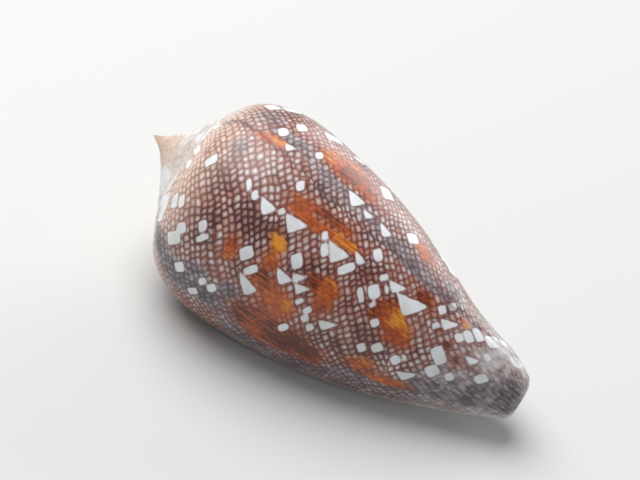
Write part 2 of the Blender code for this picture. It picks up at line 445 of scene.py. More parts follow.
def curve_through(points, at):
    """Read a smooth curve through the points, by cubic pieces whose slopes join the neighbours."""
    xs, ys = np.array(points, dtype=float).T
    slope = np.gradient(ys, xs)
    piece = np.clip(np.searchsorted(xs, at) - 1, 0, len(xs) - 2)
    width = xs[piece + 1] - xs[piece]
    t = np.clip((at - xs[piece]) / width, 0.0, 1.0)
    start = (2 * t**3 - 3 * t**2 + 1) * ys[piece] + (t**3 - 2 * t**2 + t) * width * slope[piece]
    end = (3 * t**2 - 2 * t**3) * ys[piece + 1] + (t**3 - t**2) * width * slope[piece + 1]
    return start + end


def suture(turn):
    """A spiral on the concave cone of the spire: radius by equal ratio each turn, height as its power."""
    radius = SUTURE_RADIUS * SPIRE_GROWTH ** (turn - TURNS)
    return SPIRE_REACH * radius**SPIRE_CURVE, radius


def side(share, turn):
    """The lip profile at this share of its length, shrunk by the growth ratio for each turn back."""
    share, turn = np.broadcast_arrays(np.asarray(share, dtype=float), np.asarray(turn, dtype=float))
    back = TURNS - turn
    start = suture(turn)[0]
    notch = NOTCH_DEPTH * rise(back, NOTCH_START, NOTCH_SPAN)
    end = LENGTH - END_SLANT * smooth_step(back / SLANT_SPAN) - notch
    lip_start = suture(TURNS)[0]
    lip_x = lip_start + (LENGTH - lip_start) * share
    radius = curve_through(((lip_start, SUTURE_RADIUS),) + LIP_PROFILE, lip_x)
    radius = radius * curve_through(GROWTH, share) ** (-back)
    pinch = COLUMELLA_PINCH * rise(share, PINCH_TOP, 1.0 - PINCH_TOP)
    radius = radius * (1.0 - pinch * rise(back, PINCH_START, PINCH_SPAN))
    return start + (end - start) * share, radius


def ramp(share, turn):
    """A cubic arc from the suture one turn back to this turn's suture, bowed outwards."""
    x0, r0 = suture(turn - 1)
    x3, r3 = suture(turn)
    size = r3 - r0
    x1, r1 = x0 + BOW_FIRST[0] * size, r0 + BOW_FIRST[1] * size
    x2, r2 = x3 - BOW_LAST[0] * size, r3 - BOW_LAST[1] * size
    a, b, c, d = (1 - share) ** 3, 3 * share * (1 - share) ** 2, 3 * share**2 * (1 - share), share**3
    return a * x0 + b * x1 + c * x2 + d * x3, a * r0 + b * r1 + c * r2 + d * r3


def side_normal(share, turn):
    """The profile's outward direction in the plane of the axis, from its slope either side."""
    x_ahead, r_ahead = side(np.clip(share + SLOPE_STEP, 0.0, 1.0), turn)
    x_behind, r_behind = side(np.clip(share - SLOPE_STEP, 0.0, 1.0), turn)
    run = np.hypot(x_ahead - x_behind, r_ahead - r_behind)
    return -(r_ahead - r_behind) / run, (x_ahead - x_behind) / run


def inner_wall(share, turn):
    """The side moved in along its normal by the wall's thickness, which thins to the lip's edge."""
    x, r = side(share, turn)
    out_x, out_r = side_normal(share, turn)
    thinner = rise(share, THINNER_FROM, 1.0 - THINNER_FROM)
    thickness = WALL + (WALL_AT_SIPHON - WALL) * thinner
    edge = smooth_step((TURNS - turn) / LIP_TAPER_SPAN)
    thickness = thickness * edge + np.minimum(thickness, LIP_EDGE) * (1.0 - edge)
    to_end = smooth_step((1.0 - share) / END_TAPER)
    return x - to_end * thickness * out_x, r - thickness * out_r


def in_space(x, r, turn):
    """Turn axial distance, radius and turn into points about the x axis, the lip at LIP_ANGLE."""
    angle = math.radians(LIP_ANGLE) + FULL_TURN * (np.asarray(turn) - TURNS)
    x, r, angle = np.broadcast_arrays(x, r, angle)
    return np.stack((x, -r * np.sin(angle), r * np.cos(angle)), axis=-1)


def at_rest(points):
    """Pitch points in the shell's frame into the resting pose and stand them where the solid stands."""
    pitch = math.radians(AXIS_PITCH)
    turned = points @ np.array((
        (math.cos(pitch), 0.0, -math.sin(pitch)),
        (0.0, 1.0, 0.0),
        (math.sin(pitch), 0.0, math.cos(pitch)),
    ))
    apex_x = CAD_LOW[0] / MILLIMETRE
    return turned + np.array((apex_x, REST_SHIFT_Y, REST_LIFT))


def resting_shift():
    """Where the box's middle and base lie before the shell is stood up, read from its own outline."""
    turn = TURNS - 1 + np.linspace(0.0, 1.0, REST_GRID[0])
    share_grid, turn_grid = np.meshgrid(np.linspace(0.0, 1.0, REST_GRID[1]), turn)
    points = in_space(*side(share_grid, turn_grid), turn_grid).reshape(-1, 3)
    pitch = math.radians(AXIS_PITCH)
    height = points[:, 2] * math.cos(pitch) - points[:, 0] * math.sin(pitch)
    return -(points[:, 1].min() + points[:, 1].max()) / 2, -height.min()


REST_SHIFT_Y, REST_LIFT = resting_shift()


class Skin:
    """The surface as it is put together: points, faces that name them, and what each point carries."""

    def __init__(self):
        self.points = []
        self.count = 0
        self.quads = []
        self.net = []
        self.growth = []
        self.fans = []
        self.marks = {}

    def add(self, points, **marks):
        """Add a grid of points with its marks and return their numbers in the same grid."""
        shape = points.shape[:-1]
        total = int(np.prod(shape))
        for name, values in marks.items():
            flat = np.broadcast_to(values, shape).reshape(-1)
            self.marks.setdefault(name, []).append((self.count, flat))
        numbers = np.arange(self.count, self.count + total).reshape(shape)
        self.points.append(points.reshape(-1, 3))
        self.count += total
        return numbers

    def sheet(self, grid, net=None, growth=None):
        """Fill a grid of point numbers with quads, and lay the two maps on them if they are given."""
        corners = [(slice(0, -1), slice(0, -1)), (slice(0, -1), slice(1, None)),
                   (slice(1, None), slice(1, None)), (slice(1, None), slice(0, -1))]
        self.quads.append(np.stack([grid[c] for c in corners], axis=-1).reshape(-1, 4))
        blank = np.zeros(grid.shape + (2,))
        for store, values in ((self.net, net), (self.growth, growth)):
            values = blank if values is None else values
            store.append(np.stack([values[c] for c in corners], axis=2).reshape(-1, 2))

    def polygon(self, *rows):
        """Fill the loop that the rows of point numbers make, end to end."""
        self.fans.append([int(number) for row in rows for number in row])

    def cone(self, ring, point):
        """Join a closed ring of point numbers to one point with triangles."""
        for a, b in zip(ring, np.roll(ring, -1)):
            self.polygon((a, b), point)

    def mark_array(self, name):
        """One mark over all points, zero where it wasn't given."""
        values = np.zeros(self.count, dtype=np.float32)
        for first, flat in self.marks.get(name, []):
            values[first:first + len(flat)] = flat
        return values


def camera_axes():
    """The camera's back, right and up directions, from azimuth, elevation and roll."""
    azimuth, elevation, roll = (math.radians(a) for a in (CAMERA_AZIMUTH, CAMERA_ELEVATION, CAMERA_ROLL))
    back = np.array((math.sin(azimuth) * math.cos(elevation), -math.cos(azimuth) * math.cos(elevation),
                     math.sin(elevation)))
    level = np.array((math.cos(azimuth), math.sin(azimuth), 0.0))
    upright = np.cross(back, level)
    right = level * math.cos(roll) + upright * math.sin(roll)
    return back, right, upright * math.cos(roll) - level * math.sin(roll)


def camera_place():
    """The camera's position in millimetres, moved sideways so that the shell sits where the photo has it."""
    back, right, up = camera_axes()
    middle = (CAD_LOW + CAD_HIGH) / 2 / MILLIMETRE
    scale = CAMERA_DISTANCE / FOCAL_PIXELS
    across = (SHELL_ACROSS - PICTURE_WIDTH / 2) * scale
    down = (SHELL_DOWN - PICTURE_HEIGHT / 2) * scale
    return middle - right * across + up * down + back * CAMERA_DISTANCE


def in_picture(points):
    """Points in millimetres as pixels across and down the photo."""
    back, right, up = camera_axes()
    offset = points - camera_place()
    depth = -(offset @ back)
    across = PICTURE_WIDTH / 2 + FOCAL_PIXELS * (offset @ right) / depth
    down = PICTURE_HEIGHT / 2 - FOCAL_PIXELS * (offset @ up) / depth
    return across, down


class Whorl:
    """The last whorl's outside as arrays on one grid: place, turn, distance along the lip, radius."""

    def __init__(self):
        step = 1.0 / COLUMNS
        self.turns = TURNS - 1 + np.arange(COLUMNS + 1) * step
        ramp_share = np.arange(RAMP_ROWS) / RAMP_ROWS
        share = side_shares()
        ramp_grid, turn_ramp = np.meshgrid(ramp_share, self.turns)
        side_grid, turn_side = np.meshgrid(share, self.turns)
        x_ramp, r_ramp = ramp(ramp_grid, turn_ramp)
        x_side, r_side = side(side_grid, turn_side)
        self.share = np.hstack((np.full_like(ramp_grid, -1.0), side_grid))
        self.turn = np.hstack((turn_ramp, turn_side))
        self.x = np.hstack((x_ramp, x_side))
        self.radius = np.hstack((r_ramp, r_side))
        run = np.hypot(np.diff(self.x, axis=1), np.diff(self.radius, axis=1))
        self.arc = np.hstack((np.zeros((COLUMNS + 1, 1)), np.cumsum(run, axis=1)))
        self.angle = map_angle(self.turn)
        self.points = at_rest(in_space(self.x, self.radius, self.turn))
        self.across, self.down = in_picture(self.points)
        along = np.gradient(self.points, axis=1)
        round_axis = np.gradient(self.points, axis=0)
        normal = np.cross(along, round_axis)
        normal /= np.linalg.norm(normal, axis=-1, keepdims=True) + 1e-9
        outward = in_space(0.0, 1.0, self.turn)
        normal *= np.sign(np.sum(normal * outward, axis=-1, keepdims=True))
        self.facing = normal @ camera_axes()[0]

    def spot(self, across, down):
        """The grid place nearest to a pixel of the photo, on the side that faces the camera."""
        miss = np.hypot(self.across - across, self.down - down) + PICTURE_WIDTH * (self.facing < LEAST_SEEN)
        return np.unravel_index(np.argmin(miss), miss.shape)

    def under(self, across, down):
        """The angle, distance along the lip and radius where a pixel of the photo falls on the whorl."""
        spot = self.spot(across, down)
        return self.angle[spot], self.arc[spot], self.radius[spot]

    def at(self, angle, arc):
        """This angle and distance along the lip with the radius there."""
        column = int(np.argmin(np.abs(self.angle[:, 0] - angle)))
        return angle, arc, float(np.interp(arc, self.arc[column], self.radius[column]))

    def true_size(self, across, down, width, height):
        """A size in pixels along cross lines and wave lines as millimetres on the slanting surface."""
        column, row = self.spot(across, down)
        column = min(max(column, 1), COLUMNS - 1)
        row = min(max(row, 1), self.arc.shape[1] - 2)
        picture = np.stack((self.across, self.down))
        by_growth = picture[:, column + 1, row] - picture[:, column - 1, row]
        by_growth /= 2 * FULL_TURN * self.radius[column, row] / COLUMNS
        by_arc = picture[:, column, row + 1] - picture[:, column, row - 1]
        by_arc /= self.arc[column, row + 1] - self.arc[column, row - 1]
        wave = WAVE_SPEED / self.radius[column, row]
        cross_line = np.linalg.norm(by_growth - CROSS_SLOPE * by_arc) / math.hypot(1.0, CROSS_SLOPE)
        wave_line = np.linalg.norm(by_growth + wave * by_arc) / math.hypot(1.0, wave)
        least = LEAST_FACING / pixel_size()
        return width / max(cross_line, least), height / max(wave_line, least)


def side_shares():
    """Rows down the side, closer together over the round shoulder."""
    even = np.linspace(0.0, 1.0, SIDE_ROWS + 1)
    return ROW_CROWDING * even**2 + (1.0 - ROW_CROWDING) * even


def pixel_size():
    """Millimetres on the shell that one pixel of the photo spans."""
    return CAMERA_DISTANCE / FOCAL_PIXELS


def hidden_places(count, seed):
    """Random places on the part of the whorl that the photo doesn't show: angle, arc, size, chance."""
    draw = np.random.default_rng(seed)
    turn = TURNS - 1 + HIDDEN_TURNS * draw.random(count)
    arc = by_chance(HIDDEN_ARC, draw.random(count))
    size = by_chance(HIDDEN_SIZE, draw.random(count) ** 2)
    return list(zip(map_angle(turn), arc, size, draw.random(count)))


def by_chance(limits, chance):
    """A least value and what a share of its range adds."""
    return limits[0] + limits[1] * chance


def seen_places(whorl, rows):
    """Rows in the photo's pixels as places on the whorl, with half length, half width and weight."""
    return [(whorl.under(x, y), length, width, weight) for x, y, length, width, weight in rows]


def white_distance(whorl):
    """Signed distance to the nearest white tent or block, negative inside, in millimetres. A few blocks on
    the upper-right outline are partly painted highlight.

    Two wave lines and two cross lines bound a block. One of each and a slanting side bound a tent.
    """
    shapes = [(whorl.under(x, y), *whorl.true_size(x, y, wide, high), rows is TENTS)
              for rows in (TENTS, BLOCKS_AND_GLINTS) for x, y, wide, high in rows]
    shapes += [(whorl.at(angle, arc), size, size * by_chance(HIDDEN_STRETCH, chance), chance > 0.5)
               for angle, arc, size, chance in hidden_places(HIDDEN_TENTS, HIDDEN_SEED)]
    nearest = np.full(whorl.arc.shape, FAR_FROM_WHITE)
    for (angle, arc, radius), width, height, is_tent in shapes:
        wave = WAVE_SPEED / max(radius, LEAST_RADIUS)
        growth = whorl.radius * (whorl.angle - angle)
        along = whorl.arc - arc
        across_wave = (along - wave * growth) / math.hypot(1.0, wave)
        across_cross = (along + CROSS_SLOPE * growth) / math.hypot(1.0, CROSS_SLOPE)
        if is_tent:
            u = across_wave + width / 3
            v = height / 3 - across_cross
            slant = (u / width + v / height - 1.0) * width * height / math.hypot(width, height)
            distance = rounded((-u, -v, slant))
        else:
            half_width, half_height = width / 2, height / 2
            distance = rounded((across_wave - half_width, -across_wave - half_width,
                                across_cross - half_height, -across_cross - half_height))
        nearest = np.minimum(nearest, distance)
    return nearest


def rounded(sides):
    """The shape inside all these sides, its corners rounded: the log of the sum of their exponentials."""
    sides = np.clip(np.stack(sides) / CORNER_ROUNDING, -EXPONENT_LIMIT, EXPONENT_LIMIT)
    return CORNER_ROUNDING * (np.log(np.sum(np.exp(sides), axis=0)) - CORNER_GAIN)


def soft_spots(whorl, places):
    """Bell-shaped spots, long along the shell: their sum, and their sum with each taken by its weight."""
    scale = SPOT_SPREAD * pixel_size()
    total = np.zeros_like(whorl.arc)
    weighed = np.zeros_like(whorl.arc)
    for (angle, arc, radius), half_length, half_width, weight in places:
        growth = whorl.radius * (whorl.angle - angle)
        along = whorl.arc - arc
        spot = bell(growth, half_width * scale) * bell(along, half_length * scale)
        total += spot
        weighed += spot * weight
    return total, weighed


def patch_marks(whorl):
    """How much orange-brown there is, and how golden it is."""
    places = seen_places(whorl, PATCHES)
    for angle, arc, size, chance in hidden_places(HIDDEN_PATCHES, HIDDEN_SEED + 1):
        arc = BANDS[0 if chance < 0.5 else 1] + BAND_SCATTER * (arc - BAND_MIDDLE)
        half_sizes = by_chance(PATCH_LENGTH, size), by_chance(PATCH_WIDTH, size)
        places.append((whorl.at(angle, arc), *half_sizes, chance))
    total, gold = soft_spots(whorl, places)
    return np.clip(total, 0.0, MOST_PATCH), gold / (total + FAINT_SPOT)


def cloud_and_shade_marks(whorl):
    """How grey and cloudy the pattern is, with painted shade along the lower edge: the photo's places,
    hidden ones and the break's older side.
    """
    places = seen_places(whorl, CLOUDS_AND_SHADE)
    for angle, arc, size, chance in hidden_places(HIDDEN_CLOUDS, HIDDEN_SEED + 2):
        half_sizes = by_chance(CLOUD_LENGTH, size), by_chance(CLOUD_WIDTH, size)
        places.append((whorl.at(angle, arc), *half_sizes, CLOUD_STRENGTH * chance))
    amount, back, width = SCAR_GREY
    beyond = amount * bell(past_scar(whorl) + back, width)
    return np.clip(soft_spots(whorl, places)[1] + beyond, 0.0, MOST_CLOUD)


def past_scar(whorl):
    """Millimetres of growth since the break healed, its edge slightly jagged; negative on the older side."""
    jagged = sum(height * np.sin(rate * whorl.arc) for height, rate in SCAR_JAGS)
    return FULL_TURN * whorl.radius * (whorl.turn - curve_through(SCAR_PATH, whorl.arc)) + jagged


def relief(whorl):
    """How far the surface lies below the solid's: the break's groove, the siphonal cords, the lip's edge."""
    groove = SCAR_DEPTH * bell(past_scar(whorl), SCAR_WIDTH) * rise(whorl.arc, *SCAR_BEGINS)
    cords = CORD_DEPTH * (0.5 - 0.5 * np.cos(FULL_TURN * whorl.arc / CORD_PITCH))
    cords = cords * rise(whorl.share, *CORDS_BEGIN)
    rounding = LIP_ROUNDING * bell(to_lip(whorl), LIP_ROUNDING_WIDTH) * (whorl.share > 0.0)
    return SKIN_INSET + groove + cords + rounding


def to_lip(whorl):
    """Millimetres of growth that are left to the lip's edge."""
    return FULL_TURN * whorl.radius * (TURNS - whorl.turn)


def whorl_marks(whorl):
    """What each point of the last whorl carries for the finish to read."""
    patch, gold = patch_marks(whorl)
    wave = WAVE_SPEED / np.maximum(whorl.radius, 1.0)
    return {
        "tent": white_distance(whorl),
        "patch": patch,
        "gold": gold,
        "cloud": cloud_and_shade_marks(whorl),
        "cream": 1.0 - rise(whorl.arc, *CREAM_ENDS),
        "tip": rise(whorl.arc, *TIP_BEGINS),
        "across": 1.0 / np.hypot(1.0, wave),
        "lean": CROSS_SLOPE * np.hypot(1.0, 1.0 / wave) / (CROSS_SLOPE + wave) * PITCH_RATIO,
        "scar": bell(past_scar(whorl), SCAR_MARK_WIDTH),
        "shoulder": 1.0 - rise(whorl.arc, *SHOULDER_ENDS),
        "lip": bell(to_lip(whorl), LIP_BAND_WIDTH) * rise(whorl.arc, *LIP_BAND_BEGINS),
        "zone": soft_spots(whorl, seen_places(whorl, ZONES_AND_SHADE))[1],
    }


def build_outside(skin, whorl):
    """Add the spire's ramps and the last whorl's side, and return the side's grid of point numbers."""
    early = np.arange(-COLUMNS, (TURNS - 1) * COLUMNS) / COLUMNS
    x, r = suture(early)
    early_numbers = skin.add(at_rest(in_space(x, r, early)), tent=FAR_FROM_WHITE, cream=1.0,
                             peach=1.0 - rise(early, *PEACH_ENDS))

    turns = np.arange(0, (TURNS - 1) * COLUMNS + 1) / COLUMNS
    ramp_grid, ramp_turn = np.meshgrid(np.arange(RAMP_ROWS + 1) / RAMP_ROWS, turns)
    x, r = ramp(ramp_grid, ramp_turn)
    inner = (slice(0, -1), slice(1, -1))
    middle = skin.add(at_rest(in_space(x, r, ramp_turn))[inner], tent=FAR_FROM_WHITE, cream=1.0,
                      peach=1.0 - rise(ramp_turn[inner], *PEACH_ENDS))

    depth = relief(whorl)
    normal_x, normal_r = side_normal(np.clip(whorl.share, 0.0, 1.0), whorl.turn)
    surface = in_space(whorl.x - depth * normal_x, whorl.radius - depth * normal_r, whorl.turn)
    marks = {name: values[:, 1:] for name, values in whorl_marks(whorl).items()}
    last = skin.add(at_rest(surface)[:, 1:], **marks)

    count = (TURNS - 1) * COLUMNS
    sutures = np.concatenate((early_numbers, last[:, RAMP_ROWS - 1]))
    ramps = np.column_stack((sutures[:count], middle, sutures[COLUMNS:COLUMNS + count]))
    lower = np.column_stack((sutures[count:count + COLUMNS + 1], last))
    spire = np.vstack((ramps, np.concatenate((sutures[count:count + 1], last[0, :RAMP_ROWS]))))

    run = np.hypot(np.diff(x, axis=1), np.diff(r, axis=1))
    arc = np.hstack((np.zeros((len(turns), 1)), np.cumsum(run, axis=1)))
    skin.sheet(spire, *surface_maps(arc, r, map_angle(ramp_turn)))
    net, growth = surface_maps(whorl.arc, whorl.radius, whorl.angle)
    skin.sheet(lower, net + SCAR_SHIFT * (past_scar(whorl) < 0.0)[..., None], growth)

    apex = skin.add(at_rest(np.zeros((1, 3))), tent=FAR_FROM_WHITE, cream=1.0, peach=1.0)
    skin.cone(np.concatenate((sutures[:COLUMNS], ramps[0, :0:-1])), apex)
    return lower


def surface_maps(arc, radius, angle):
    """Two maps in millimetres or cells: the pigment net's columns and rows, and growth against arc.

    A column follows a wave, which ran WAVE_SPEED along the lip for each radian of growth, so its number
    is arc less speed times angle. The row is the length run along the column.
    """
    columns = arc - WAVE_SPEED * angle
    stretch = np.hypot(1.0, radius / WAVE_SPEED)
    steps = np.diff(arc, axis=1) * (stretch[:, 1:] + stretch[:, :-1]) / 2
    rows = np.hstack((np.zeros((len(arc), 1)), np.cumsum(steps, axis=1)))
    return np.stack((columns, rows), axis=-1), np.stack((radius * angle, arc), axis=-1)


def build_inside(skin, lower):
    """Add the cavity, the lip's edge and the siphonal end to the outside's grid."""
    share = side_shares()
    top = int(np.argmin(np.abs(share - CAVITY_TOP_SHARE)))
    depth = int(round(CAVITY_TURNS * COLUMNS / INNER_STRIDE))
    step = INNER_STRIDE / COLUMNS
    first = RAMP_ROWS + top

    share_grid, turn_grid = np.meshgrid(share[top:], TURNS - 1 + np.arange(-depth, 0) * step)
    x, r = side(share_grid, turn_grid)
    hidden = skin.add(at_rest(in_space(x, r - SKIN_INSET, turn_grid)), tent=FAR_FROM_WHITE,
                      inside=rise(TURNS - 1 - turn_grid, *INSIDE_BEGINS))
    hidden = np.vstack((hidden, lower[0, first:]))
    skin.sheet(hidden)

    share_grid, turn_grid = np.meshgrid(share[top + 1:], TURNS + np.arange(-depth, 1) * step)
    x, r = inner_wall(share_grid, turn_grid)
    edge = INNER_LIP_ROUNDING * (turn_grid > TURNS - step / 2)
    inner = skin.add(at_rest(in_space(x, r + edge, turn_grid)), tent=FAR_FROM_WHITE, inside=1.0)
    skin.sheet(np.column_stack((hidden[:, 0], inner)))

    skin.sheet(np.vstack((lower[-1, first + 1:], inner[-1])))
    skin.polygon(lower[-1, :first + 2], inner[-1, :1], lower[0, first:RAMP_ROWS:-1])
    skin.polygon(hidden[0, :2], inner[0, :1])
    skin.sheet(np.vstack((hidden[0, 1:], inner[0])))

    rim = lower[:, -1]
    for column in range(depth):
        start = COLUMNS - (depth - column) * INNER_STRIDE
        skin.polygon(rim[start:start + INNER_STRIDE + 1], inner[column + 1:column + 2, -1],
                     inner[column:column + 1, -1])
    loop = np.concatenate((hidden[:, -1], rim[1:COLUMNS - depth * INNER_STRIDE + 1], inner[:1, -1]))
    middle = np.vstack(skin.points)[loop].mean(axis=0, keepdims=True)
    skin.cone(loop, skin.add(middle + np.array(((END_DOME, 0.0, 0.0),)), tent=FAR_FROM_WHITE, tip=1.0))


def skin_mesh(skin, name):
    """Put the skin's arrays into a mesh with its maps and marks, faces pointing out."""
    points = np.vstack(skin.points) * MILLIMETRE
    quads = np.vstack(skin.quads)
    fan_sizes = np.array([len(face) for face in skin.fans], dtype=np.int64)
    fan_loops = np.array([number for face in skin.fans for number in face], dtype=np.int64)
    loops = np.concatenate((quads.reshape(-1), fan_loops))
    starts = np.concatenate((np.arange(len(quads)) * 4, quads.size + np.cumsum(fan_sizes) - fan_sizes))
    mesh = bpy.data.meshes.new(name)
    mesh.vertices.add(len(points))
    mesh.vertices.foreach_set("co", points.astype(np.float32).reshape(-1))
    mesh.loops.add(len(loops))
    mesh.loops.foreach_set("vertex_index", loops.astype(np.int32))
    mesh.polygons.add(len(starts))
    mesh.polygons.foreach_set("loop_start", starts.astype(np.int32))
    for title, store in (("net", skin.net), ("growth", skin.growth)):
        layer = mesh.uv_layers.new(name=title)
        values = np.vstack(store + [np.zeros((len(fan_loops), 2))])
        layer.uv.foreach_set("vector", values.astype(np.float32).reshape(-1))
    for title in skin.marks:
        layer = mesh.attributes.new(title, "FLOAT", "POINT")
        layer.data.foreach_set("value", skin.mark_array(title))
    mesh.update(calc_edges=True)
    mesh.validate()
    shape = bmesh.new()
    shape.from_mesh(mesh)
    bmesh.ops.recalc_face_normals(shape, faces=shape.faces)
    shape.to_mesh(mesh)
    shape.free()
    mesh.shade_smooth()
    return mesh


def from_screen(colour):
    """A screen colour from 0 to 255 as the linear numbers that a shader takes."""
    part = np.array(colour) / 255.0
    linear = np.where(part <= 0.04045, part / 12.92, ((part + 0.055) / 1.055) ** 2.4)
    return tuple(float(value) for value in linear)


class Value:
    """A shader socket that carries one number, with arithmetic that adds Math nodes."""

    def __init__(self, finish, socket):
        self.finish = finish
        self.socket = socket

    def math(self, operation, *others):
        sockets = {index: other for index, other in enumerate((self,) + others)}
        made = self.finish.node("ShaderNodeMath", {"operation": operation}, sockets)
        return Value(self.finish, made.outputs[0])

    def __add__(self, other):
        return self.math("ADD", other)

    def __sub__(self, other):
        return self.math("SUBTRACT", other)

    def __rsub__(self, other):
        return (self * -1.0) + other

    def __mul__(self, other):
        return self.math("MULTIPLY", other)

    __radd__ = __add__
    __rmul__ = __mul__

    def __truediv__(self, other):
        return self.math("DIVIDE", other)

    def floor(self):
        return self.math("FLOOR")

    def size(self):
        return self.math("ABSOLUTE")

    def most(self, other):
        return self.math("MAXIMUM", other)

    def soft_least(self, other, blend):
        return self.math("SMOOTH_MIN", other, blend)

    def between(self, low, high):
        """0 below low and 1 above high, or the other way round if low is the greater."""
        made = self.finish.node("ShaderNodeMapRange", {"interpolation_type": "SMOOTHSTEP"},
                                {"Value": self, "From Min": min(low, high), "From Max": max(low, high),
                                 "To Min": 0.0 if low < high else 1.0, "To Max": 1.0 if low < high else 0.0})
        return Value(self.finish, made.outputs[0])


class Finish:
    """A material's node tree, with one way to add a node and short ways to read the surface."""

    def __init__(self, name):
        self.material = bpy.data.materials.new(name)
        self.material.use_nodes = True
        self.tree = self.material.node_tree
        self.shader = self.tree.nodes["Principled BSDF"]

    def node(self, kind, settings=None, sockets=None):
        """Add a node of this kind, make its settings, then give its sockets values or links."""
        made = self.tree.nodes.new(kind)
        for name, value in (settings or {}).items():
            setattr(made, name, value)
        for key, value in (sockets or {}).items():
            self.feed(made.inputs[key], value)
        return made

    def feed(self, socket, value):
        """Link a socket or set its number or colour."""
        if isinstance(value, Value):
            self.tree.links.new(value.socket, socket)
        elif isinstance(value, bpy.types.NodeSocket):
            self.tree.links.new(value, socket)
        else:
            socket.default_value = value

    def mark(self, name):
        """A number that the mesh carries at each point."""
        made = self.node("ShaderNodeAttribute", {"attribute_name": name, "attribute_type": "GEOMETRY"})
        return Value(self, made.outputs["Fac"])

    def map_parts(self, name):
        """The two numbers of a map that the mesh carries."""
        made = self.node("ShaderNodeUVMap", {"uv_map": name})
        parts = self.node("ShaderNodeSeparateXYZ", None, {0: made.outputs[0]})
        return Value(self, parts.outputs[0]), Value(self, parts.outputs[1])

    def vector(self, x, y, z=0.0):
        """Three numbers as one vector."""
        return self.node("ShaderNodeCombineXYZ", None, {0: x, 1: y, 2: z}).outputs[0]

    def noise(self, vector, scale, detail=2.0, roughness=0.5):
        """Smooth noise about 0.5."""
        made = self.node("ShaderNodeTexNoise", {"noise_dimensions": "3D"},
                         {"Vector": vector, "Scale": scale, "Detail": detail, "Roughness": roughness})
        return Value(self, made.outputs["Fac"])

    def chance(self, vector):
        """A random number from 0 to 1 for each whole-number vector."""
        made = self.node("ShaderNodeTexWhiteNoise", {"noise_dimensions": "2D"}, {"Vector": vector})
        return Value(self, made.outputs["Value"])

    def mix(self, amount, first, second):
        """Colours mixed by an amount from 0 to 1."""
        made = self.node("ShaderNodeMix", {"data_type": "RGBA", "clamp_factor": True},
                         {0: amount, 6: self.colour(first), 7: self.colour(second)})
        return made.outputs[2]

    def colour(self, value):
        """A colour property as four numbers, or a socket as it is."""
        if isinstance(value, bpy.types.NodeSocket):
            return value
        return (*value[:3], 1.0)


